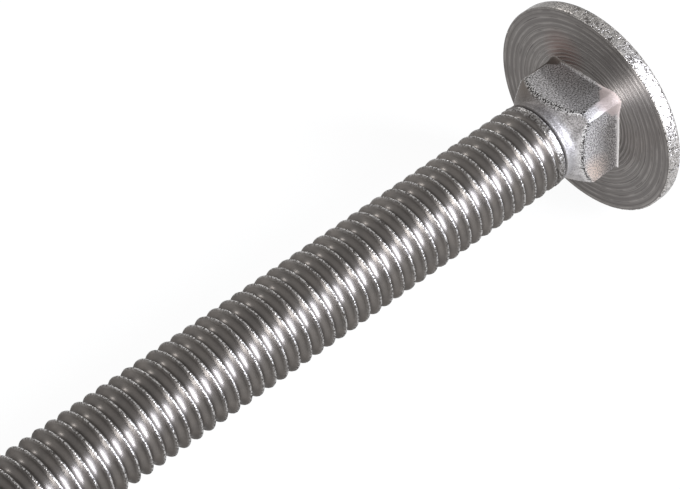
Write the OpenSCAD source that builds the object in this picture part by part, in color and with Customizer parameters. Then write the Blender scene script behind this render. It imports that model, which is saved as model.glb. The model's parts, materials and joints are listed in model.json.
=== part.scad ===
// Carriage bolt: one piece of stainless steel, with a low domed head, a square neck and a threaded
// shank. It lies as it comes to rest: on the edge of its head and on the end of its thread, with
// the head towards -X, the tip towards +X and two of the neck's flats level.
// The shank is a plain cylinder over the thread's crests.

/* [Head] */
// Diameter of the head
head_d = 19.8; // [17:0.1:24]
// Height of the whole head, from its flat underside to the top of the dome
head_h = 4.5; // [3.6:0.1:6]
// Height of the straight rim, between the underside and the dome
rim_h = 1.3; // [0.8:0.05:2]
// Rounding of the rim's two edges
edge_r = 0.25; // [0.1:0.05:0.4]

/* [Square neck] */
// How much wider the neck is than the thread, across its flats
neck_over = 0; // [-0.4:0.05:1]
// How far the neck's corners stand back from those of a sharp square
corner_cut = 0.35; // [0.2:0.05:0.6]
// Length of the corners, from the head to where they taper towards the shank
corner_len = 3.5; // [2.6:0.1:6]
// How much the corners narrow just above the head, where the steel did not fill the die
corner_waist = 0.3; // [0.1:0.05:0.5]
// Height above the head at which the corners have their full width again
waist_end = 2.2; // [1.6:0.1:2.5]
// Fillet between a corner and the head
corner_fillet_r = 0.85; // [0.5:0.05:1.4]
// Fillet between a flat and the head
flat_fillet_r = 0.45; // [0.2:0.05:0.8]
// Fillet between the taper and the plain stub
taper_fillet_r = 0.8; // [0.4:0.1:1.2]

/* [Thread] */
// Outer diameter of the thread
thread_d = 7.8; // [6.5:0.1:10]
// Length of the bolt under its head
bolt_len = 70; // [25:1:120]
// Depth of the plain stub next to the neck, below the thread's crests
stub_step = 0.25; // [0.1:0.05:0.5]
// Length of the plain stub, between the taper and the thread
stub_len = 1; // [0.4:0.1:3]
// Width of the chamfer at the tip
tip_chamfer = 0.9; // [0.4:0.1:1.5]

/* [Hidden] */
$fn = 96;

head_r = head_d / 2;
thread_r = thread_d / 2;
stub_r = thread_r - stub_step;
neck_w = thread_d + neck_over;
corner_r = neck_w / sqrt(2) - corner_cut;
waist_r = corner_r - corner_waist;
stub_start = corner_len + corner_r - stub_r;
thread_start = stub_start + stub_len;
thread_end = bolt_len - tip_chamfer;
tip_r = thread_r - tip_chamfer;
// The neck starts this far inside the head, so that the two are one solid
root = 0.5;

// The dome is part of a sphere through the rim's far edge and the top of the head
dome_h = head_h - rim_h;
dome_r = (head_r * head_r + dome_h * dome_h) / (2 * dome_h);
dome_z = dome_r - head_h;
// Height of the centre of the rounding between dome and rim, which touches both
dome_edge_r = head_r - edge_r;
dome_edge_z = dome_z - sqrt(pow(dome_r - edge_r, 2) - pow(dome_edge_r, 2));

// The floor touches the rounding at the head's underside and the end of the thread
rest_run = thread_end + edge_r;
rest_drop = head_r - edge_r - thread_r;
rest_tilt = atan2(rest_drop, rest_run) + asin(edge_r / norm([rest_run, rest_drop]));
lift = thread_end * sin(rest_tilt) + thread_r * cos(rest_tilt);
// Furthest points towards -X, on the dome, and +X, on the tip's upper edge
reach_back = dome_r - dome_z * cos(rest_tilt);
reach_front = bolt_len * cos(rest_tilt) + tip_r * sin(rest_tilt);

// The area between corner p, whose sides leave it at angles a and b, and the arc of radius r that
// touches both sides. Added it fills an inside corner, and taken away it rounds an outside one.
module corner_web(p, a, b, r) {
    half = (b - a) / 2;
    side = r / tan(half);
    centre = p + r / sin(half) * [cos(a + half), sin(a + half)];
    difference() {
        polygon([p, p + side * [cos(a), sin(a)], centre, p + side * [cos(b), sin(b)]]);
        translate(centre) circle(r);
    }
}

// Half of the head's section, with the axis on the left and the underside at y = 0
module head_section() {
    difference() {
        intersection() {
            translate([0, dome_z]) circle(dome_r);
            translate([0, -2 * head_h]) square([head_r, 2 * head_h]);
        }
        corner_web([head_r, 0], 180, 270, edge_r);
        dome_edge();
    }
}

// What the rounding between dome and rim takes away
module dome_edge() {
    centre = [dome_edge_r, dome_edge_z];
    out = (centre - [0, dome_z]) / (dome_r - edge_r);
    reach = 4 * edge_r;
    difference() {
        polygon([centre, centre + reach * out, centre + [reach, 0]]);
        translate(centre) circle(edge_r);
    }
}

module head() {
    rotate_extrude() head_section();
}

// Outline that bounds the neck's corners, and the plain stub, as a half section
module corner_section() {
    polygon([
        [0, -root], [waist_r, -root], [waist_r, corner_fillet_r], [corner_r, waist_end],
        [corner_r, corner_len], [stub_r, stub_start], [stub_r, thread_start], [0, thread_start]
    ]);
    corner_web([waist_r, 0], 0, 90, corner_fillet_r);
    corner_web([stub_r, stub_start], -45, 90, taper_fillet_r);
}

// Two opposite flats, with a fillet at the foot of each
module flats() {
    rotate([90, 0, 0]) linear_extrude(4 * neck_w, center = true)
        for (side = [0, 1]) mirror([side, 0]) {
            translate([0, -root]) square([neck_w / 2, root + thread_start]);
            corner_web([neck_w / 2, 0], 0, 90, flat_fillet_r);
        }
}

module neck() {
    intersection() {
        rotate_extrude() corner_section();
        flats();
        rotate([0, 0, 90]) flats();
    }
}

// Cylinder over the thread's crests, with the chamfered tip and a core that runs into the stub
module shank() {
    rotate_extrude() polygon([
        [0, thread_start - root], [tip_r, thread_start - root], [tip_r, thread_start],
        [thread_r, thread_start], [thread_r, thread_end], [tip_r, bolt_len], [0, bolt_len]
    ]);
}

module carriage_bolt() {
    color("#8b8784")
    translate([(reach_back - reach_front) / 2, 0, lift]) rotate([0, 90 + rest_tilt, 0]) {
        head();
        neck();
        shank();
    }
}

carriage_bolt();
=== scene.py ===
"""The looks of the carriage bolt: one piece of stainless steel with a turned head underside, a
forged square neck and a rolled right-hand thread, lying on a pale floor.

Shapes are worked out in millimetres in the bolt's own frame: its axis is +Z from the head's flat
underside at 0 to the tip, and +Y is the frame's +Y. The last step takes them to the frame's metres.
Angles are counted round the axis from the bolt's own +X, which points down, to +Y."""
import json
import math
import bmesh
import bpy
from mathutils import Matrix, Vector, noise


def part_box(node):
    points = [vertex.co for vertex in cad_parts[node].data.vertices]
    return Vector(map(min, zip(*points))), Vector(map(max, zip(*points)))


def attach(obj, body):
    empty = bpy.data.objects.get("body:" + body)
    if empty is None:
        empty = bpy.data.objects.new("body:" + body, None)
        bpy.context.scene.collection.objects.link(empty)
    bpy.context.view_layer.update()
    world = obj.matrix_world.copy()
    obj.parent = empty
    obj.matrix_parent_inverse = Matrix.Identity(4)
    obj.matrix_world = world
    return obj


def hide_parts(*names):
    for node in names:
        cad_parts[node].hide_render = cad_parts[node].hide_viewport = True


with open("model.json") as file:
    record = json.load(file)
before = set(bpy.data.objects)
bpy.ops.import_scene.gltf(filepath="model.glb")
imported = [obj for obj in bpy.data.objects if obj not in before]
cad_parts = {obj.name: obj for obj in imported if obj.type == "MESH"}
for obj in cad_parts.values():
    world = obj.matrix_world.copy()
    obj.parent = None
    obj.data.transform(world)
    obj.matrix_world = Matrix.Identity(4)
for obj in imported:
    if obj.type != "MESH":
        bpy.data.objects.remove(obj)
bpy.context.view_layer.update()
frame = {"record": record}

MM = 0.001
MOUNTS = {mount["name"]: mount for mount in frame["record"]["mounts"]}

# The bolt's place, from the frame: its axis, its underside's centre and its own axes
AXIS = Vector(MOUNTS["thread"]["axis"])
THREAD_MIDDLE = Vector(MOUNTS["thread"]["pos_m"])
UNDERSIDE = THREAD_MIDDLE + AXIS * AXIS.dot(Vector(MOUNTS["head_underside"]["pos_m"]) - THREAD_MIDDLE)
SIDE = Vector((0, 1, 0))
TURN = Matrix((SIDE.cross(AXIS), SIDE, AXIS)).transposed()
PLACE = Matrix.Translation(UNDERSIDE) @ TURN.to_4x4() @ Matrix.Scale(MM, 4)

# Thread, in mm
THREAD_R = MOUNTS["thread"]["dims"]["r_mm"]
THREAD_LEN = MOUNTS["thread"]["dims"]["length_mm"]
THREAD_END = AXIS.dot(THREAD_MIDDLE - UNDERSIDE) / MM + THREAD_LEN / 2
TIP_CHAMFER = 0.9
BOLT_LEN = THREAD_END + TIP_CHAMFER
PITCH = 1.25
CREST_AT = 0.645      # where the crest crosses the bolt's own +X, past a whole number of pitches
CREST_HALF = 0.05     # half the width of the crest's flat
CREST_DROP = 0.018    # how much the crest's flat falls off towards its edge
TORN_DEPTH = 0.12     # how far below the crest its rough steel reaches
ROOT_R = 0.45
TURN_STEPS = 72

# Head, in mm
HEAD_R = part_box("carriage_bolt")[1].y / MM - 0.012   # so that its sharper edge clears the floor
HEAD_H = 4.49                                        # so that the dome stays in the frame's box
RIM_H = 1.3
EDGE_R = 0.12       # at the underside
SHOULDER_R = 0.45   # at the dome

# The dome is part of a sphere of radius DOME_R, whose centre is on the axis at height DOME_Z
DOME_H = HEAD_H - RIM_H
DOME_R = (HEAD_R ** 2 + DOME_H ** 2) / (2 * DOME_H)
DOME_Z = DOME_R - HEAD_H

# Centre of the dome's shoulder, and the angle off the axis at which it meets the dome
SHOULDER_MIDDLE = HEAD_R - SHOULDER_R
SHOULDER_Z = DOME_Z - math.sqrt((DOME_R - SHOULDER_R) ** 2 - SHOULDER_MIDDLE ** 2)
SHOULDER_LEAN = math.asin(SHOULDER_MIDDLE / (DOME_R - SHOULDER_R))

# Underside: its rows are even down to the radius RINGS_END, in mm, where their t is RINGS_SHARE
RINGS_END = 5.85
RINGS_SHARE = 0.9
EDGE_GROOVE_AT = 9.2

# Square neck, in mm
NECK_HALF = THREAD_R
CORNER_CUT = 0.35
CORNER_R = NECK_HALF * math.sqrt(2) - CORNER_CUT
TAPER_AT = 3.3
STUB_R = THREAD_R - 0.25
BLANK_R = STUB_R + 0.14   # of the shank where the thread starts, before it was rolled
FOOT_END = 3              # height up to which the wall's rows follow the fillet at its foot

# Where the neck's surface ends and the thread's starts, and the crease just before that, in mm
JOIN_AT = 6.2
JOIN_GAP = 0.05
GROOVE = 0.22
GROOVE_BACK = 0.25
GROOVE_HALF = 0.2

# Angles
COLUMNS = 240
QUARTER = math.pi / 2
FRONT = math.pi / 2                # the flat that faces +Y
UPPER_CORNER = math.radians(135)   # the two corners next to it
LOWER_CORNER = math.radians(45)


def soft_min(a, b, width):
    """The lower of two heights, with the crease between them rounded over that width."""
    near = max(width - abs(a - b), 0.0) / width
    return min(a, b) - near * near * width / 4


def soft_max(a, b, width):
    return -soft_min(-a, -b, width)


def ramp(low, high, x):
    """0 at low, 1 at high, and smooth between them. It falls with x where low is the higher."""
    t = min(max((x - low) / (high - low), 0.0), 1.0)
    return t * t * (3 - 2 * t)


def wobble(x, y, z, size):
    """Smooth noise from -1 to 1 whose lumps are about size across."""
    return noise.noise(Vector((x, y, z)) / size)


# ---------------------------------------------------------------- neck
def off_flat(angle):
    """Angle to the middle of the nearest flat, from 0 to 45 degrees."""
    return abs((angle + QUARTER / 2) % QUARTER - QUARTER / 2)


def past_upper_corner(angle):
    """Degrees from the upper corner at +Y, which fall below 0 towards the lower one."""
    return math.degrees(math.remainder(angle - UPPER_CORNER, 2 * math.pi))


def corner_edge(angle):
    """Radius of the neck's corners. The lower one at +Y came out sharp, and the upper one at +Y was
    pressed flatter on its upper side."""
    upper = past_upper_corner(angle)
    sharp = CORNER_CUT * ramp(-55, -85, upper) * ramp(-125, -95, upper)
    pressed_flat = 0.14 + 0.07 * min(max(upper / 6, -1.0), 1.0)
    return CORNER_R + 0.02 + sharp - pressed_flat * ramp(-35, -10, upper) * ramp(35, 10, upper)


def taper_start(angle):
    """Height at which a corner's taper starts: later at the corners than at the flats, and uneven
    round the neck, as the forging left it."""
    earlier_on_flats = 0.17 * math.cos(4 * angle)
    earlier_at_front = 0.25 * math.cos(angle - math.radians(95))
    return TAPER_AT - earlier_on_flats - earlier_at_front


def taper(height, angle):
    return CORNER_R - (height - taper_start(angle))


def groove(height):
    """Depth of the crease where the thread starts."""
    return GROOVE * max(1 - abs(height - JOIN_AT + GROOVE_BACK) / GROOVE_HALF, 0.0)


def neck_radius(height, angle):
    flat = NECK_HALF / math.cos(off_flat(angle))
    r = soft_min(flat, corner_edge(angle), width=0.05)
    r = soft_min(r, taper(height, angle), width=0.08)
    stub = STUB_R - 0.06 + 0.2 * ramp(4.8, 6.1, height)
    return soft_max(r, stub, width=0.3) - groove(height)


def pressed(height, angle):
    """How far the die's flat lies inside the neck's free surface there, in mm."""
    free = min(corner_edge(angle), taper(height, angle))
    return free - NECK_HALF / math.cos(off_flat(angle))


def flat_edge(angle):
    """Angle from the middle of that flat to its edge, on that side of it."""
    middle = round(angle / QUARTER) * QUARTER
    side = math.copysign(1, angle - middle)
    edge = QUARTER / 2
    for _ in range(4):
        edge = math.acos(min(NECK_HALF / corner_edge(middle + side * edge), 1.0))
    return min(edge, 0.99 * QUARTER / 2)


def corner_share(angle):
    """How much a corner widens the fillet there: most at the upper corner at +Y, and hardly at the
    sharp one under it."""
    upper = max(math.cos(angle - UPPER_CORNER), 0.0) ** 2
    lower = max(math.cos(angle - LOWER_CORNER), 0.0) ** 2
    swell = ramp(31 - 5 * upper, 46 - upper, math.degrees(off_flat(angle)))
    return swell * max(0.75 + 0.25 * upper - 0.75 * lower, 0.0)


def foot_fillet(angle):
    """The fillet between the neck and the head: how far it runs out on the head and how far up the
    neck. It is small on a flat and tall at a corner."""
    corner = corner_share(angle)
    upper = max(math.cos(angle - UPPER_CORNER), 0.0) ** 2
    front = max(math.cos(angle - FRONT), 0.0) ** 4
    out = 0.22 + 0.5 * corner * upper
    tall = 0.25 + 1.3 * corner + 0.4 * front * (1 - corner)
    return out, tall


# ---------------------------------------------------------------- head and neck, row by row
# Each row of points has its radius and height from its own t and the angle round the axis.
def dome_row(t, angle):
    """From the top of the dome, where t is 0, to just before its shoulder."""
    r = t * (HEAD_R - SHOULDER_R * 0.8)
    return r, DOME_Z - math.sqrt(DOME_R ** 2 - r ** 2)


def rim_edge_row(t, angle):
    """Round the dome's shoulder up to t = 1, down the rim to 2 and round the underside's edge to 3."""
    if t < 1:
        a = -math.pi / 2 + SHOULDER_LEAN + t * (math.pi / 2 - SHOULDER_LEAN)
        return SHOULDER_MIDDLE + SHOULDER_R * math.cos(a), SHOULDER_Z + SHOULDER_R * math.sin(a)
    if t <= 2:
        return HEAD_R, SHOULDER_Z + (t - 1) * (-EDGE_R - SHOULDER_Z)
    a = (t - 2) * math.pi / 2
    return HEAD_R - EDGE_R + EDGE_R * math.cos(a), -EDGE_R + EDGE_R * math.sin(a)


def ring_height(r):
    """The broad turned rings of the underside, and the groove next to its edge."""
    edge_groove = 0.05 * max(1 - abs(r - EDGE_GROOVE_AT) / 0.2, 0.0)
    return 0.012 * wobble(r, 0, 0, size=0.35) + 0.006 * wobble(r, 3, 0, size=0.9) - edge_groove


def foot_start(angle):
    """Radius at which the fillet at the neck's foot starts."""
    out, tall = foot_fillet(angle)
    return neck_radius(tall, angle) + out


def underside_row(t, angle):
    """From the underside's edge to the fillet at the neck's foot."""
    outer = HEAD_R - EDGE_R
    if t <= RINGS_SHARE:
        r = outer + (RINGS_END - outer) * t / RINGS_SHARE
    else:
        r = RINGS_END + (foot_start(angle) - RINGS_END) * (t - RINGS_SHARE) / (1 - RINGS_SHARE)
    fade = ramp(0, 0.3, outer - r) * ramp(5.7, 6.2, r)
    return r, ring_height(r) * fade


def fillet_row(t, angle):
    out, tall = foot_fillet(angle)
    a = t * math.pi / 2
    return neck_radius(tall, angle) + out * (1 - math.sin(a)), tall * (1 - math.cos(a))


def wall_row(t, angle):
    """Here t counts mm above the head, and the rows near the foot are spread up from the fillet."""
    height = t
    if t < FOOT_END:
        tall = foot_fillet(angle)[1]
        height = tall + t / FOOT_END * (FOOT_END - tall)
    return neck_radius(height, angle), height


def steps(low, high, count):
    return [low + (high - low) * (i + 1) / count for i in range(count)]


ROWS = (
    [(dome_row, t, "tumbled") for t in [0] + steps(0, 1, 15)]
    + [(rim_edge_row, t, "tumbled") for t in steps(0, 1, 5) + steps(1, 2, 4) + steps(2, 3, 3)]
    + [(underside_row, t, "turned") for t in steps(0, RINGS_SHARE, 38) + steps(RINGS_SHARE, 1, 6)]
    + [(fillet_row, t, "forged") for t in steps(0, 1, 8)]
    + [(wall_row, t, "forged") for t in steps(0, FOOT_END, 9) + steps(FOOT_END, 5.7, 20)]
    + [(wall_row, t, "forged") for t in steps(5.7, JOIN_AT - JOIN_GAP, 8)]
)


def neck_share(row, t):
    """How much a row follows the neck's flats: wholly on the neck, and not at all on the head."""
    if row is underside_row:
        return ramp(0.5, 1, t)
    if row is fillet_row:
        return 1.0
    if row is wall_row:
        return 1 - ramp(3.2, 5.4, t)
    return 0.0


def crowd(angle, share):
    """Moves the columns' angles towards the edges of the flats, by share."""
    middle = round(angle / QUARTER) * QUARTER
    x = (angle - middle) / (QUARTER / 2)
    edge = flat_edge(angle) / (QUARTER / 2)
    on_flat = 0.8    # this share of the columns is on the flats, and closer together at their edges
    bend = math.pi / 2 * 0.9
    side = math.copysign(1, x)
    x = abs(x)
    if x < on_flat:
        y = edge * math.sin(x / on_flat * bend) / math.sin(bend)
    else:
        y = edge + (1 - edge) * (x - on_flat) / (1 - on_flat)
    return middle + side * (x + (y - x) * share) * QUARTER / 2


# What the forged steel's colours follow on the neck, each from 0 to 1: free where the die didn't
# press it, border where it tore along the taper's edge, a dark line along that edge with painted
# shade in the crease where the thread starts, the foot of the upper corner at +Y, painted pale as a
# highlight, and the taper above that foot, painted dark as shade
MARKS = ("free", "border", "dark_line_and_crease_shade", "foot", "taper_shade")


def neck_marks(row, t, height, angle):
    marks = {}
    if row is wall_row:
        depth = pressed(height, angle)
        edge = (1 - ramp(0.02, 0.4, abs(depth))) * ramp(2.4, 3.4, height)
        line = (1 - ramp(0.0, 0.12, abs(depth))) * ramp(2.8, 3.4, height)
        marks["free"] = 1 - ramp(-0.03, 0.05, depth)
        marks["border"] = max(edge, ramp(JOIN_AT - GROOVE_BACK, JOIN_AT - JOIN_GAP, height))
        # a dark line along the taper's edge, and painted shade in the crease where the thread starts
        marks["dark_line_and_crease_shade"] = max(0.5 * line, groove(height) / GROOVE)
    else:
        marks["free"] = max(1 - ramp(0.3, 0.7, t), ramp(0.0, 0.12, corner_share(angle)))
    upper = past_upper_corner(angle)
    on_taper = ramp(1.9, 3.5, height) * ramp(4.9, 4.4, height)
    # the foot of the upper corner at +Y, which is painted pale as a highlight
    marks["foot"] = ramp(2.4, 1.2, height) * ramp(-28, -16, upper) * ramp(28, 16, upper)
    # the taper above that foot, which is painted dark as shade
    marks["taper_shade"] = on_taper * ramp(-26, -6, upper) * ramp(28, 12, upper)
    return marks


def head_and_neck():
    """The head, the neck and the plain stub: a half section spun round, then pressed square."""
    bm = bmesh.new()
    row_of = bm.verts.layers.int.new("row")
    mark_of = {name: bm.verts.layers.float.new(name) for name in MARKS}
    last = None
    for i, (row, t, _) in enumerate(ROWS):
        r, height = row(t, math.pi / 4)
        v = bm.verts.new((r, 0, height))
        v[row_of] = i
        if last:
            bm.edges.new((last, v))
        last = v
    bmesh.ops.spin(bm, geom=bm.verts[:] + bm.edges[:], cent=(0, 0, 0), axis=(0, 0, 1),
                   angle=2 * math.pi, steps=COLUMNS, use_merge=True, use_duplicate=False)
    for v in bm.verts:
        row, t, _ = ROWS[v[row_of]]
        angle = crowd(math.atan2(v.co.y, v.co.x), neck_share(row, t))
        r, height = row(t, angle)
        v.co = (r * math.cos(angle), r * math.sin(angle), height)
        if row in (fillet_row, wall_row):
            for name, value in neck_marks(row, t, height, angle).items():
                v[mark_of[name]] = value
    bmesh.ops.remove_doubles(bm, verts=bm.verts, dist=1e-4)
    for f in bm.faces:
        surface = ROWS[max(v[row_of] for v in f.verts)][2]
        f.material_index = SURFACES.index(surface)
    bm.verts.layers.int.remove(row_of)
    return bm


# ---------------------------------------------------------------- thread
def thread_section():
    """Flanks at 30 degrees, a narrow crest and a round root, from one crest to the next."""
    slope = math.tan(math.radians(60))
    flank_start = CREST_HALF + 0.04
    flank_end = PITCH / 2 - ROOT_R * math.cos(math.radians(30))
    half = [(0, 0), (CREST_HALF, CREST_DROP)]
    for share in (0, 0.15, 0.85, 1):
        x = flank_start + share * (flank_end - flank_start)
        half.append((x, 0.06 + (x - flank_start) * slope))
    bottom = half[-1][1] + ROOT_R / 2
    for swing in steps(30, 90, 4):
        a = math.radians(swing)
        half.append((PITCH / 2 - ROOT_R * math.cos(a), bottom - ROOT_R * (1 - math.sin(a))))
    return half + [(PITCH - x, depth) for x, depth in reversed(half[:-1])]


def spin_thread(bm, depth_of):
    """The outline of the whole thread, spun one turn and one pitch on."""
    start = CREST_AT + PITCH * (math.floor((JOIN_AT - CREST_AT) / PITCH) - 1)
    last = bm.verts.new((THREAD_R, 0, start))
    for turn in range(math.ceil((BOLT_LEN - start) / PITCH) + 1):
        for x, depth in thread_section()[1:]:
            v = bm.verts.new((THREAD_R - depth, 0, start + turn * PITCH + x))
            v[depth_of] = depth
            bm.edges.new((last, v))
            last = v
    bmesh.ops.spin(bm, geom=bm.verts[:] + bm.edges[:], cent=(0, 0, 0), axis=(0, 0, 1),
                   dvec=(0, 0, PITCH / TURN_STEPS), angle=2 * math.pi, steps=TURN_STEPS,
                   use_duplicate=False)
    bmesh.ops.remove_doubles(bm, verts=bm.verts, dist=0.004)


def wear_thread(bm, depth_of, crest_of):
    """Roughens the crests, keeps the crests low and broad and the roots shallow towards the stub,
    and cuts the chamfer at the tip."""
    for v in bm.verts:
        x, y, height = v.co
        angle = math.atan2(y, x)
        root = ramp(JOIN_AT, JOIN_AT + 1.0, height)
        crest = ramp(JOIN_AT + 0.1, JOIN_AT + 2.3, height)
        v[crest_of] = max(1 - v[depth_of] / TORN_DEPTH, 0)
        rough = v[crest_of] * (0.016 + 0.016 * wobble(x, y, height, size=0.4))
        r = BLANK_R + (THREAD_R - v[depth_of] - rough - BLANK_R) * root
        uneven = 0.1 * (1 - crest) * wobble(x, y, height, size=0.3)
        rolled_to = BLANK_R + (THREAD_R - BLANK_R) * crest + uneven
        if r > rolled_to + 0.01 or height < JOIN_AT + 0.5:
            r = rolled_to
            v[crest_of] = 0.55
        r = min(r, THREAD_R, THREAD_R - (height - THREAD_END))
        v.co = (r * math.cos(angle), r * math.sin(angle), height)


def thread():
    """The thread and the tip, open towards the neck."""
    bm = bmesh.new()
    crest_of = bm.verts.layers.float.new("crest")
    depth_of = bm.verts.layers.float.new("depth")
    spin_thread(bm, depth_of)
    wear_thread(bm, depth_of, crest_of)
    bm.verts.layers.float.remove(depth_of)
    for height, outer in ((JOIN_AT, -1), (BOLT_LEN, 1)):
        everything = bm.verts[:] + bm.edges[:] + bm.faces[:]
        bmesh.ops.bisect_plane(bm, geom=everything, plane_co=(0, 0, height), plane_no=(0, 0, outer),
                               clear_outer=True)
    rim = [e for e in bm.edges if e.is_boundary and e.verts[0].co.z > BOLT_LEN - 0.01]
    end = bmesh.ops.holes_fill(bm, edges=rim, sides=0)
    for e in rim:
        e.smooth = False
    for f in bm.faces:
        f.material_index = SURFACES.index("rolled")
    for f in end["faces"]:
        f.material_index = SURFACES.index("turned")
    return bm


# ---------------------------------------------------------------- materials
SURFACES = ["tumbled", "turned", "forged", "rolled"]

# Sockets of a Mix node set to colours, which share their names with others
SHARE, UNDER, OVER = 0, 6, 7
MIXED = 2


def linear(hex_colour):
    """sRGB hex to linear RGBA."""
    values = [int(hex_colour[i:i + 2], 16) / 255 for i in (1, 3, 5)]
    return [v / 12.92 if v <= 0.04045 else ((v + 0.055) / 1.055) ** 2.4 for v in values] + [1.0]


def add(tree, kind, sockets=None, **settings):
    """Adds a node. sockets gives its inputs, by name or number, as values, nodes or outputs."""
    made = tree.nodes.new(kind)
    for name, value in settings.items():
        setattr(made, name, value)
    for name, value in (sockets or {}).items():
        if isinstance(value, bpy.types.Node):
            value = value.outputs[0]
        if isinstance(value, bpy.types.NodeSocket):
            tree.links.new(value, made.inputs[name])
        else:
            made.inputs[name].default_value = value
    return made


def new_material(name):
    made = bpy.data.materials.new(name)
    made.use_nodes = True
    made.node_tree.nodes.clear()
    return made, made.node_tree


def in_bolt(tree):
    """The surface's place in the bolt's own frame, in mm."""
    spot = add(tree, "ShaderNodeTexCoord")
    return add(tree, "ShaderNodeMapping",
               {"Vector": spot.outputs["Object"], "Location": UNDERSIDE, "Rotation": TURN.to_euler(),
                "Scale": (MM, MM, MM)}, vector_type="TEXTURE")


def rolled_steel():
    """Bare stainless steel, thread-rolled: the dies slid round the thread, so the flanks and the
    root are smooth with fine marks round the axis, and a highlight spreads along the axis. At the
    crest the steel from both flanks met, so it is rough, and its grains are painted bright and dark
    as glints and shade."""
    steel, tree = new_material("rolled_stainless_steel")
    place = in_bolt(tree)
    patches = add(tree, "ShaderNodeTexNoise", {"Vector": place, "Scale": 1 / 1.6, "Detail": 3.0})
    tone = add(tree, "ShaderNodeMapRange", {"Value": patches, "From Min": 0.35, "From Max": 0.65})
    metal = add(tree, "ShaderNodeMix",
                {SHARE: tone, UNDER: linear("#74706d"), OVER: linear("#807b77")},
                data_type="RGBA").outputs[MIXED]
    # painted shade: the shank is painted a little darker more and more towards the tip
    height = add(tree, "ShaderNodeSeparateXYZ", {"Vector": place}).outputs["Z"]
    tip_shade = add(tree, "ShaderNodeMapRange",
               {"Value": height, "From Min": 8.0, "From Max": 60.0, "To Min": 0.0, "To Max": 0.12})
    metal = add(tree, "ShaderNodeMix", {SHARE: tip_shade, UNDER: metal, OVER: linear("#4e4a47")},
                data_type="RGBA").outputs[MIXED]
    # the crest's grains, drawn coarser than the real ones, which are too fine to show
    crest = add(tree, "ShaderNodeAttribute", attribute_name="crest").outputs["Fac"]
    grains = add(tree, "ShaderNodeTexNoise", {"Vector": place, "Scale": 1 / 0.16, "Detail": 2.0})
    shine = add(tree, "ShaderNodeMapRange", {"Value": grains, "From Min": 0.42, "From Max": 0.58})
    # painted glints and shade: the crest's grains are painted bright and dark over its real roughness
    torn_glints = add(tree, "ShaderNodeMix",
               {SHARE: shine, UNDER: linear("#5a5755"), OVER: linear("#d2d0cf")},
               data_type="RGBA").outputs[MIXED]
    metal = add(tree, "ShaderNodeMix", {SHARE: crest, UNDER: metal, OVER: torn_glints},
                data_type="RGBA").outputs[MIXED]
    bumps = add(tree, "ShaderNodeMath", {0: crest, 1: grains}, operation="MULTIPLY")
    normal = add(tree, "ShaderNodeBump", {"Height": bumps, "Distance": 0.06 * MM, "Strength": 1.0})
    along = add(tree, "ShaderNodeCombineXYZ", {"X": AXIS.x, "Y": AXIS.y, "Z": AXIS.z})
    shader = add(tree, "ShaderNodeBsdfPrincipled",
                 {"Metallic": 1.0, "Roughness": 0.39, "Anisotropic": 0.82, "Tangent": along,
                  "Base Color": metal, "Specular Tint": linear("#a6a6a6"), "Normal": normal})
    add(tree, "ShaderNodeOutputMaterial", {"Surface": shader})
    return steel


def turned_marks(tree, flat, reach):
    """What the turned die left: broad ridges, fine cuts that are strongest near the neck, and
    scratches. The real cuts and scratches are closer together than can show here."""
    # a ring wave repeats every 0.314 / scale, here every 0.58 mm and every 0.36 mm
    rings = add(tree, "ShaderNodeTexWave",
                {"Vector": flat, "Scale": 0.54, "Distortion": 0.8, "Detail": 1.0,
                 "Detail Scale": 1.0}, wave_type="RINGS", rings_direction="Z")
    fine = add(tree, "ShaderNodeTexWave",
               {"Vector": flat, "Scale": 0.87, "Distortion": 1.0, "Detail": 1.0,
                "Detail Scale": 1.0}, wave_type="RINGS", rings_direction="Z")
    ridge = add(tree, "ShaderNodeMapRange", {"Value": rings, "From Min": 0.55, "From Max": 1.0})
    peaks = add(tree, "ShaderNodeMapRange", {"Value": fine, "From Min": 0.5, "From Max": 1.0})
    near = add(tree, "ShaderNodeMapRange",
               {"Value": reach, "From Min": 4.8, "From Max": 8.0, "To Min": 0.7, "To Max": 0.1})
    cuts = add(tree, "ShaderNodeMath", {0: peaks, 1: near}, operation="MULTIPLY")
    scratches = add(tree, "ShaderNodeTexNoise", {"W": reach, "Scale": 1 / 0.1, "Detail": 1.0},
                    noise_dimensions="1D")
    return ridge, cuts, scratches


def turned_metal(tree, place, ridge, cuts, scratches):
    """Its colour: painted brighter on the ridges, in patches, and on the cuts near the neck, as
    highlights on the rings.
    """
    tone = add(tree, "ShaderNodeMapRange", {"Value": scratches, "From Min": 0.3, "From Max": 0.7})
    metal = add(tree, "ShaderNodeMix",
                {SHARE: tone, UNDER: linear("#5f5b5a"), OVER: linear("#827e7b")},
                data_type="RGBA").outputs[MIXED]
    clouds = add(tree, "ShaderNodeTexNoise", {"Vector": place, "Scale": 1 / 1.8, "Detail": 3.0})
    painted_share = add(tree, "ShaderNodeMapRange", {"Value": clouds, "From Min": 0.38, "From Max": 0.6})
    # painted highlight: the ridges are painted brighter, in patches
    line = add(tree, "ShaderNodeMath", {0: ridge, 1: painted_share}, operation="MULTIPLY")
    metal = add(tree, "ShaderNodeMix", {SHARE: line, UNDER: metal, OVER: linear("#908c89")},
                data_type="RGBA").outputs[MIXED]
    # a brown stain next to the neck
    away = add(tree, "ShaderNodeVectorMath", {0: place, 1: (-5, -2.4, 0)}, operation="DISTANCE")
    stain = add(tree, "ShaderNodeMapRange",
                {"Value": away.outputs["Value"], "From Min": 2.6, "From Max": 1.0, "To Min": 0.0,
                 "To Max": 0.5})
    metal = add(tree, "ShaderNodeMix", {SHARE: stain, UNDER: metal, OVER: linear("#7b6059")},
                data_type="RGBA").outputs[MIXED]
    # painted highlight: the cuts are painted brighter, most near the neck
    return add(tree, "ShaderNodeMix", {SHARE: cuts, UNDER: metal, OVER: linear("#9f9b98")},
               data_type="RGBA").outputs[MIXED]


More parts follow.
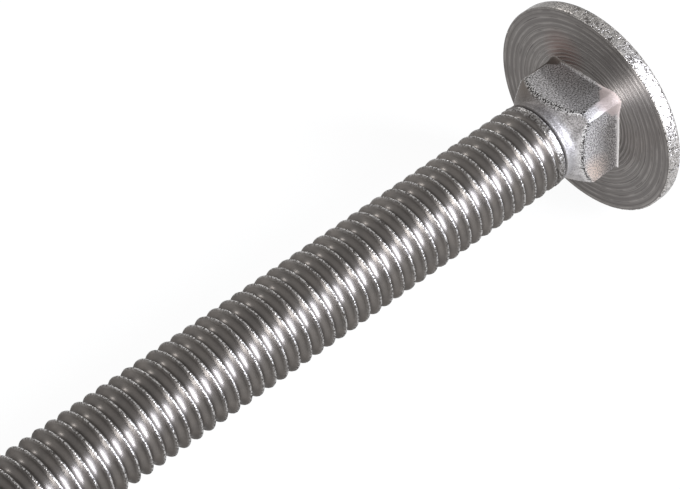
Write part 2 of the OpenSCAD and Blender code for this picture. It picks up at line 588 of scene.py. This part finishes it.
def turned_steel():
    """Bare stainless steel, headed in a turned die that left its rings: they catch the light one by
    one, and a highlight is drawn out across them into rays from the axis."""
    steel, tree = new_material("turned_stainless_steel")
    place = in_bolt(tree)
    flat = add(tree, "ShaderNodeVectorMath", {0: place, 1: (1, 1, 0)}, operation="MULTIPLY")
    reach = add(tree, "ShaderNodeVectorMath", {0: flat}, operation="LENGTH").outputs["Value"]
    ridge, cuts, scratches = turned_marks(tree, flat, reach)
    metal = turned_metal(tree, place, ridge, cuts, scratches)
    normal = add(tree, "ShaderNodeBump", {"Height": ridge, "Distance": 0.03 * MM, "Strength": 1.0})
    normal = add(tree, "ShaderNodeBump",
                 {"Height": cuts, "Distance": 0.12 * MM, "Strength": 1.0, "Normal": normal})
    normal = add(tree, "ShaderNodeBump",
                 {"Height": scratches, "Distance": 0.03 * MM, "Strength": 1.0, "Normal": normal})
    outward = add(tree, "ShaderNodeVectorMath", {0: flat}, operation="NORMALIZE")
    tangent = add(tree, "ShaderNodeVectorRotate",
                  {"Vector": outward, "Rotation": TURN.to_euler()}, rotation_type="EULER_XYZ")
    shader = add(tree, "ShaderNodeBsdfPrincipled",
                 {"Metallic": 1.0, "Roughness": 0.44, "Anisotropic": 0.95, "Tangent": tangent,
                  "Base Color": metal, "Normal": normal})
    add(tree, "ShaderNodeOutputMaterial", {"Surface": shader})
    return steel


def pressed_metal(tree, place, grain, tone, front):
    """Colour of the flats: dark and grainy. The one that faces +Y is painted lighter, as lit, with a
    beige stain near its lower corner."""
    dark = add(tree, "ShaderNodeMix",
               {SHARE: tone, UNDER: linear("#73706f"), OVER: linear("#cac8c8")},
               data_type="RGBA").outputs[MIXED]
    # painted light: a lighter copy for the flat that faces +Y
    lit_flat = add(tree, "ShaderNodeMix",
                  {SHARE: tone, UNDER: linear("#6f6c6b"), OVER: linear("#e4e1e0")},
                  data_type="RGBA").outputs[MIXED]
    metal = add(tree, "ShaderNodeMix", {SHARE: front, UNDER: dark, OVER: lit_flat},
                data_type="RGBA").outputs[MIXED]
    away = add(tree, "ShaderNodeVectorMath", {0: place, 1: (3.0, 3.9, 3.2)}, operation="DISTANCE")
    stain = add(tree, "ShaderNodeMapRange",
                {"Value": away.outputs["Value"], "From Min": 2.5, "From Max": 0.8, "To Min": 0.0,
                 "To Max": 1.0})
    speckled = add(tree, "ShaderNodeMapRange",
                   {"Value": grain, "From Min": 0.4, "From Max": 0.6, "To Min": 0.3,
                    "To Max": 0.85})
    stain = add(tree, "ShaderNodeMath", {0: stain, 1: speckled}, operation="MULTIPLY")
    return add(tree, "ShaderNodeMix", {SHARE: stain, UNDER: metal, OVER: linear("#e6d2c4")},
               data_type="RGBA").outputs[MIXED]


def free_metal(tree, place, patches, tone, front, foot):
    """Colour of the corners and the taper: pale and clouded. It is painted palest at the foot of the
    upper corner at +Y, as a highlight, and painted darkest on the taper above that foot, as shade."""
    cloud = add(tree, "ShaderNodeMapRange", {"Value": patches, "From Min": 0.35, "From Max": 0.65})
    frost = add(tree, "ShaderNodeMath", {0: cloud, 1: tone}, operation="ADD")
    frost = add(tree, "ShaderNodeMath", {0: frost, 1: 0.5}, operation="MULTIPLY")
    pale = add(tree, "ShaderNodeMix",
               {SHARE: frost, UNDER: linear("#7f7c7b"), OVER: linear("#c4c1c1")},
               data_type="RGBA").outputs[MIXED]
    # painted shade: the taper is painted darker away from the side that faces +Y
    towards = add(tree, "ShaderNodeVectorMath", {0: place, 1: (-0.34, 0.94, 0)},
                  operation="DOT_PRODUCT").outputs["Value"]
    lit_side = add(tree, "ShaderNodeMapRange", {"Value": towards, "From Min": -1.0, "From Max": 2.5})
    pale = add(tree, "ShaderNodeMix", {SHARE: lit_side, UNDER: linear("#6c6560"), OVER: pale},
               data_type="RGBA").outputs[MIXED]
    # painted light: the free steel on the side that faces +Y is painted paler, as lit
    pale = add(tree, "ShaderNodeMix", {SHARE: front, UNDER: pale, OVER: linear("#d2cfcd")},
               data_type="RGBA").outputs[MIXED]
    shaded_tone = add(tree, "ShaderNodeMix",
                 {SHARE: tone, UNDER: linear("#5c5958"), OVER: linear("#858280")},
                 data_type="RGBA").outputs[MIXED]
    # painted shade: the taper is painted darker towards the thread
    height = add(tree, "ShaderNodeSeparateXYZ", {"Vector": place}).outputs["Z"]
    painted_share = add(tree, "ShaderNodeMapRange",
               {"Value": height, "From Min": 4.2, "From Max": 5.0, "To Min": 0.0, "To Max": 0.5})
    pale = add(tree, "ShaderNodeMix", {SHARE: painted_share, UNDER: pale, OVER: shaded_tone},
               data_type="RGBA").outputs[MIXED]
    # painted highlight: the pale foot of the upper corner at +Y
    pale = add(tree, "ShaderNodeMix", {SHARE: foot, UNDER: pale, OVER: linear("#d5cac8")},
               data_type="RGBA").outputs[MIXED]
    # painted shade on the taper above the foot
    taper_shade = add(tree, "ShaderNodeAttribute", attribute_name="taper_shade").outputs["Fac"]
    return add(tree, "ShaderNodeMix", {SHARE: taper_shade, UNDER: pale, OVER: shaded_tone},
               data_type="RGBA").outputs[MIXED]


def forged_steel():
    """Bare stainless steel, cold-forged: the flats were pressed against the die, which left them
    dark and grainy, and the corners and the taper stayed free of it, pale and matt. Along the
    taper's edge the steel tore a little, and its bits are painted bright and dark as glints and shade."""
    steel, tree = new_material("forged_stainless_steel")
    place = in_bolt(tree)
    # the real grain is finer than can show here
    grain = add(tree, "ShaderNodeTexNoise", {"Vector": place, "Scale": 1 / 0.13, "Detail": 2.0})
    patches = add(tree, "ShaderNodeTexNoise", {"Vector": place, "Scale": 1 / 0.8, "Detail": 2.0})
    tone = add(tree, "ShaderNodeMapRange", {"Value": grain, "From Min": 0.38, "From Max": 0.62})
    side = add(tree, "ShaderNodeSeparateXYZ", {"Vector": place}).outputs["Y"]
    front = add(tree, "ShaderNodeMapRange", {"Value": side, "From Min": 3.5, "From Max": 3.8})
    foot = add(tree, "ShaderNodeAttribute", attribute_name="foot").outputs["Fac"]
    dark = pressed_metal(tree, place, grain, tone, front)
    pale = free_metal(tree, place, patches, tone, front, foot)
    free = add(tree, "ShaderNodeAttribute", attribute_name="free").outputs["Fac"]
    metal = add(tree, "ShaderNodeMix", {SHARE: free, UNDER: dark, OVER: pale},
                data_type="RGBA").outputs[MIXED]
    border = add(tree, "ShaderNodeAttribute", attribute_name="border").outputs["Fac"]
    bits = add(tree, "ShaderNodeMapRange", {"Value": grain, "From Min": 0.46, "From Max": 0.54})
    # painted glints and shade: bright and dark bits along the taper's edge
    torn_glints = add(tree, "ShaderNodeMix",
               {SHARE: bits, UNDER: linear("#262221"), OVER: linear("#c9c7c5")},
               data_type="RGBA").outputs[MIXED]
    metal = add(tree, "ShaderNodeMix", {SHARE: border, UNDER: metal, OVER: torn_glints},
                data_type="RGBA").outputs[MIXED]
    # darker along the taper's edge, and painted shade in the crease where the thread starts
    dark_line_and_crease_shade = add(tree, "ShaderNodeAttribute", attribute_name="dark_line_and_crease_shade").outputs["Fac"]
    metal = add(tree, "ShaderNodeMix", {SHARE: dark_line_and_crease_shade, UNDER: metal, OVER: linear("#2b2725")},
                data_type="RGBA").outputs[MIXED]
    rough = add(tree, "ShaderNodeMapRange", {"Value": foot, "To Min": 0.54, "To Max": 0.7})
    normal = add(tree, "ShaderNodeBump",
                 {"Height": patches, "Distance": 0.03 * MM, "Strength": 1.0})
    normal = add(tree, "ShaderNodeBump",
                 {"Height": grain, "Distance": 0.03 * MM, "Strength": 1.0, "Normal": normal})
    shader = add(tree, "ShaderNodeBsdfPrincipled",
                 {"Metallic": 1.0, "Roughness": rough, "Base Color": metal, "Normal": normal})
    add(tree, "ShaderNodeOutputMaterial", {"Surface": shader})
    return steel


def tumbled_steel():
    """Bare stainless steel, tumbled in a drum of stones: the rim and the dome were beaten bright,
    between worm-like creases that are painted dark as shade."""
    steel, tree = new_material("tumbled_stainless_steel")
    place = in_bolt(tree)
    worms = add(tree, "ShaderNodeTexNoise",
                {"Vector": place, "Scale": 1 / 0.65, "Detail": 1.0, "Distortion": 1.2})
    grain = add(tree, "ShaderNodeTexNoise", {"Vector": place, "Scale": 1 / 0.13, "Detail": 1.0})
    off = add(tree, "ShaderNodeMath", {0: worms, 1: 0.5}, operation="SUBTRACT")
    off = add(tree, "ShaderNodeMath", {0: off}, operation="ABSOLUTE")
    crease = add(tree, "ShaderNodeMapRange", {"Value": off, "From Min": 0.05, "From Max": 0.01})
    tone = add(tree, "ShaderNodeMapRange", {"Value": grain, "From Min": 0.35, "From Max": 0.65})
    metal = add(tree, "ShaderNodeMix",
                {SHARE: tone, UNDER: linear("#8b8886"), OVER: linear("#cdc9c5")},
                data_type="RGBA").outputs[MIXED]
    # painted shade in the creases, over their bump
    metal = add(tree, "ShaderNodeMix", {SHARE: crease, UNDER: metal, OVER: linear("#4f4b49")},
                data_type="RGBA").outputs[MIXED]
    # painted shade: the rim is painted darker towards -Y, and its worm bumps are weaker there
    parts = add(tree, "ShaderNodeSeparateXYZ", {"Vector": place}).outputs
    rim = add(tree, "ShaderNodeMapRange", {"Value": parts["Z"], "From Min": -2.2, "From Max": -1.5})
    shaded_side = add(tree, "ShaderNodeMapRange",
               {"Value": parts["Y"], "From Min": 1.2, "From Max": -2.4, "To Min": 0.0,
                "To Max": 0.8})
    shaded_side = add(tree, "ShaderNodeMath", {0: shaded_side, 1: rim}, operation="MULTIPLY")
    metal = add(tree, "ShaderNodeMix", {SHARE: shaded_side, UNDER: metal, OVER: linear("#6b6764")},
                data_type="RGBA").outputs[MIXED]
    beaten = add(tree, "ShaderNodeMath", {0: 1.0, 1: shaded_side}, operation="SUBTRACT")
    normal = add(tree, "ShaderNodeBump",
                 {"Height": worms, "Distance": 0.07 * MM, "Strength": beaten})
    normal = add(tree, "ShaderNodeBump",
                 {"Height": crease, "Distance": 0.025 * MM, "Strength": 1.0, "Normal": normal},
                 invert=True)
    normal = add(tree, "ShaderNodeBump",
                 {"Height": grain, "Distance": 0.012 * MM, "Strength": 1.0, "Normal": normal})
    shader = add(tree, "ShaderNodeBsdfPrincipled",
                 {"Metallic": 1.0, "Roughness": 0.34, "Base Color": metal, "Normal": normal})
    add(tree, "ShaderNodeOutputMaterial", {"Surface": shader})
    return steel


MATERIALS = {
    "tumbled": tumbled_steel(),
    "turned": turned_steel(),
    "forged": forged_steel(),
    "rolled": rolled_steel(),
}


# ---------------------------------------------------------------- the bolt
def loop_at(bm, height):
    """The open edges at that height."""
    return [e for e in bm.edges
            if e.is_boundary and all(abs(v.co.z - height) < 1e-3 for v in e.verts)]


def join_head(bm):
    """Brings the head and the neck into the thread's mesh and closes the gap between them."""
    shell = bpy.data.meshes.new("head")
    head = head_and_neck()
    head.to_mesh(shell)
    head.free()
    bm.from_mesh(shell)
    bpy.data.meshes.remove(shell)
    ends = loop_at(bm, JOIN_AT) + loop_at(bm, JOIN_AT - JOIN_GAP)
    band = bmesh.ops.bridge_loops(bm, edges=ends)
    for f in band["faces"]:
        f.material_index = SURFACES.index("forged")


def smooth_shade(bm):
    """Smooth all over, but for sharp edges."""
    for f in bm.faces:
        f.smooth = True
    for e in bm.edges:
        if e.is_manifold and e.calc_face_angle(0) > math.radians(50):
            e.smooth = False


def bolt():
    bm = thread()
    join_head(bm)
    bmesh.ops.recalc_face_normals(bm, faces=bm.faces)
    smooth_shade(bm)
    bmesh.ops.transform(bm, matrix=PLACE, verts=bm.verts)
    mesh = bpy.data.meshes.new("carriage_bolt_steel")
    bm.to_mesh(mesh)
    bm.free()
    for surface in SURFACES:
        mesh.materials.append(MATERIALS[surface])
    piece = bpy.data.objects.new("carriage_bolt_steel", mesh)
    bpy.context.scene.collection.objects.link(piece)
    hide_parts("carriage_bolt")
    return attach(piece, "root")


# ---------------------------------------------------------------- floor, light and camera
def white_paper():
    """Matt white paper. It glows by itself where it is seen, straight or in the metal, so that it
    is white there, and it is dark under the lamps, so that they don't add to that white but for
    the bolt's faint shadow."""
    paper = bpy.data.materials.new("white_paper")
    paper.use_nodes = True
    tree = paper.node_tree
    tree.nodes.clear()
    path = add(tree, "ShaderNodeLightPath").outputs
    seen = add(tree, "ShaderNodeMath", {0: path["Is Camera Ray"], 1: path["Is Glossy Ray"]},
               operation="MAXIMUM")
    seen = add(tree, "ShaderNodeMath", {0: seen, 1: path["Is Transmission Ray"]},
               operation="MAXIMUM")
    glow = add(tree, "ShaderNodeMath", {0: seen, 1: 0.93}, operation="MULTIPLY")
    matt = add(tree, "ShaderNodeBsdfDiffuse", {"Color": linear("#454545")})
    light = add(tree, "ShaderNodeEmission", {"Strength": glow})
    both = add(tree, "ShaderNodeAddShader", {0: matt, 1: light})
    add(tree, "ShaderNodeOutputMaterial", {"Surface": both})
    return paper


def floor():
    bm = bmesh.new()
    bmesh.ops.create_grid(bm, x_segments=1, y_segments=1, size=1.5)
    mesh = bpy.data.meshes.new("floor")
    bm.to_mesh(mesh)
    bm.free()
    mesh.materials.append(white_paper())
    ground = bpy.data.objects.new("floor", mesh)
    bpy.context.scene.collection.objects.link(ground)


def direction(azimuth, elevation):
    """Unit vector towards that azimuth, counted from +X to +Y, and elevation, in degrees."""
    a, e = math.radians(azimuth), math.radians(elevation)
    return Vector((math.cos(a) * math.cos(e), math.sin(a) * math.cos(e), math.sin(e)))


LAMP_DISTANCE = 1.0


def softbox(name, azimuth, elevation, width, height, radiance, colour="#ffffff"):
    """A flat lamp that faces the bolt. radiance is what a mirror would show, where 1 is white."""
    lamp = bpy.data.lights.new(name, "AREA")
    lamp.shape = "RECTANGLE"
    lamp.size = width
    lamp.size_y = height
    lamp.energy = radiance * width * height * math.pi
    lamp.color = linear(colour)[:3]
    rig = bpy.data.objects.new(name, lamp)
    towards = direction(azimuth, elevation)
    rig.location = towards * LAMP_DISTANCE
    rig.rotation_euler = towards.to_track_quat("Z", "Y").to_euler()
    bpy.context.scene.collection.objects.link(rig)


def pale_room():
    """The room round the bolt: plain white light, a little weaker from above than from the sides."""
    world = bpy.data.worlds.new("studio")
    bpy.context.scene.world = world
    world.use_nodes = True
    tree = world.node_tree
    up = add(tree, "ShaderNodeTexCoord").outputs["Generated"]
    height = add(tree, "ShaderNodeSeparateXYZ", {"Vector": up}).outputs["Z"]
    level = add(tree, "ShaderNodeMapRange",
                {"Value": height, "From Min": 0.1, "From Max": 0.9, "To Min": 0.8,
                 "To Max": 0.65}, interpolation_type="SMOOTHSTEP").outputs[0]
    backdrop = tree.nodes["Background"]
    backdrop.inputs["Color"].default_value = (1, 1, 1, 1)
    tree.links.new(level, backdrop.inputs["Strength"])


def studio():
    pale_room()
    # the long streak on the thread, and most of the light on the corners, the taper and the rim
    softbox("key", 117, 25, 0.5, 0.7, radiance=26.0, colour="#eef3ff")
    # a row of glints along the thread's far edge
    softbox("low_side", -115, 28, 0.05, 0.05, radiance=160.0)
    # a soft light on the flanks that face the tip, and on the rays of the underside
    softbox("front", 19, 8, 0.2, 0.14, radiance=20.0)
    # a second, weaker streak next to the long one
    softbox("broad", 58, 27, 0.8, 0.4, radiance=4.0, colour="#eaf0ff")
    # a sharper light on those flanks and rays
    softbox("low_front", 15, 4, 0.12, 0.07, radiance=140.0)
    bpy.context.scene.view_settings.view_transform = "Standard"


# Camera: where it stands from the underside's centre, in mm, and where it looks, in degrees
CAMERA_FROM_UNDERSIDE = Vector((133.46, 116.76, 141.42))
CAMERA_DOWN = 41.667
CAMERA_HEADING = 137.926
LENS = 140.03
SENSOR_WIDTH = 36


def camera():
    lens = bpy.data.cameras.new("camera")
    lens.lens = LENS
    lens.sensor_width = SENSOR_WIDTH
    lens.clip_start = 0.01
    rig = bpy.data.objects.new("camera", lens)
    rig.location = UNDERSIDE + CAMERA_FROM_UNDERSIDE * MM
    rig.rotation_euler = (math.radians(90 - CAMERA_DOWN), 0, math.radians(CAMERA_HEADING))
    bpy.context.scene.collection.objects.link(rig)
    bpy.context.scene.camera = rig


camera()
studio()
floor()
bolt()
